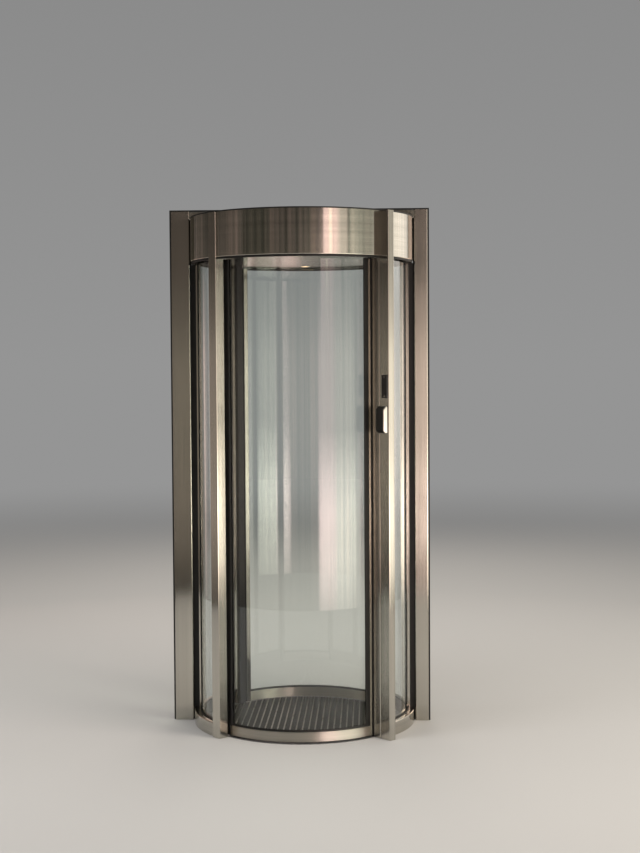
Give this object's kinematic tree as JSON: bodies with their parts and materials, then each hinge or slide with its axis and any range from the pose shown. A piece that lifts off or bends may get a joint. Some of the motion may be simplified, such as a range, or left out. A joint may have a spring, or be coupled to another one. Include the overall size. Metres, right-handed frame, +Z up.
{
  "type": "round security portal with two curved sliding doors",
  "caption": "Round glass security portal with two curved sliding doors, a deep steel header and a flat steel wall frame.",
  "frame": {"origin": "axis of the cylinder at floor level", "axes": "+Z up, front doorway faces -Y, +X to the right seen from the front"},
  "size_m": [1.183, 1.014, 2.345],
  "materials": {
    "brushed_stainless": "satin, vertical grain",
    "ceiling_steel": "fine satin",
    "galvanised_steel": "matte",
    "black_rubber": "matte",
    "clear_glass": "polished",
    "ribbed_mat": "ribbed, matte",
    "black_plastic": "satin",
    "lamp_lens": "frosted"
  },
  "bodies": {
    "portal_frame": {"frame_stile_left": "brushed_stainless", "frame_stile_right": "brushed_stainless", "frame_head": "brushed_stainless", "frame_joint": "black_rubber", "side_seals": "black_rubber", "side_glass_clamps": "brushed_stainless", "front_header_panel": "brushed_stainless", "rear_header_panel": "brushed_stainless", "left_header_panel": "brushed_stainless", "right_header_panel": "brushed_stainless", "header_inner_wall": "galvanised_steel", "header_roof": "galvanised_steel", "roof_trim": "black_rubber", "header_seal": "black_rubber", "ceiling_panel": "ceiling_steel", "downlight_rings": "brushed_stainless", "downlight_lenses": "lamp_lens", "door_track": "galvanised_steel", "front_shallow_post": "brushed_stainless", "rear_shallow_post": "brushed_stainless", "front_deep_post": "brushed_stainless", "rear_deep_post": "brushed_stainless", "front_closing_bar": "brushed_stainless", "rear_closing_bar": "brushed_stainless", "closing_bar_buffers": "black_rubber", "left_side_glass": "clear_glass", "right_side_glass": "clear_glass", "left_base_rail": "brushed_stainless", "right_base_rail": "brushed_stainless", "side_glass_gaskets": "black_rubber", "floor_plate": "galvanised_steel", "floor_mat": "ribbed_mat", "card_reader": "black_plastic", "entry_box": "black_plastic", "entry_box_cover": "brushed_stainless"},
    "front_door": {"front_door_rail": "brushed_stainless", "front_door_glass": "clear_glass", "front_door_closing_stile": "brushed_stainless", "front_door_seals": "black_rubber", "front_door_hanger": "galvanised_steel"},
    "rear_door": {"rear_door_rail": "brushed_stainless", "rear_door_glass": "clear_glass", "rear_door_closing_stile": "brushed_stainless", "rear_door_seals": "black_rubber", "rear_door_hanger": "galvanised_steel"}
  },
  "joints": [
    {"name": "front_door_slide", "type": "hinge", "parent": "portal_frame", "child": "front_door", "pos_m": [0, 0, 0], "axis": [0, 0, 1], "range_deg": [-80, 0]},
    {"name": "rear_door_slide", "type": "hinge", "parent": "portal_frame", "child": "rear_door", "pos_m": [0, 0, 0], "axis": [0, 0, 1], "range_deg": [-80, 0]}
  ]
}
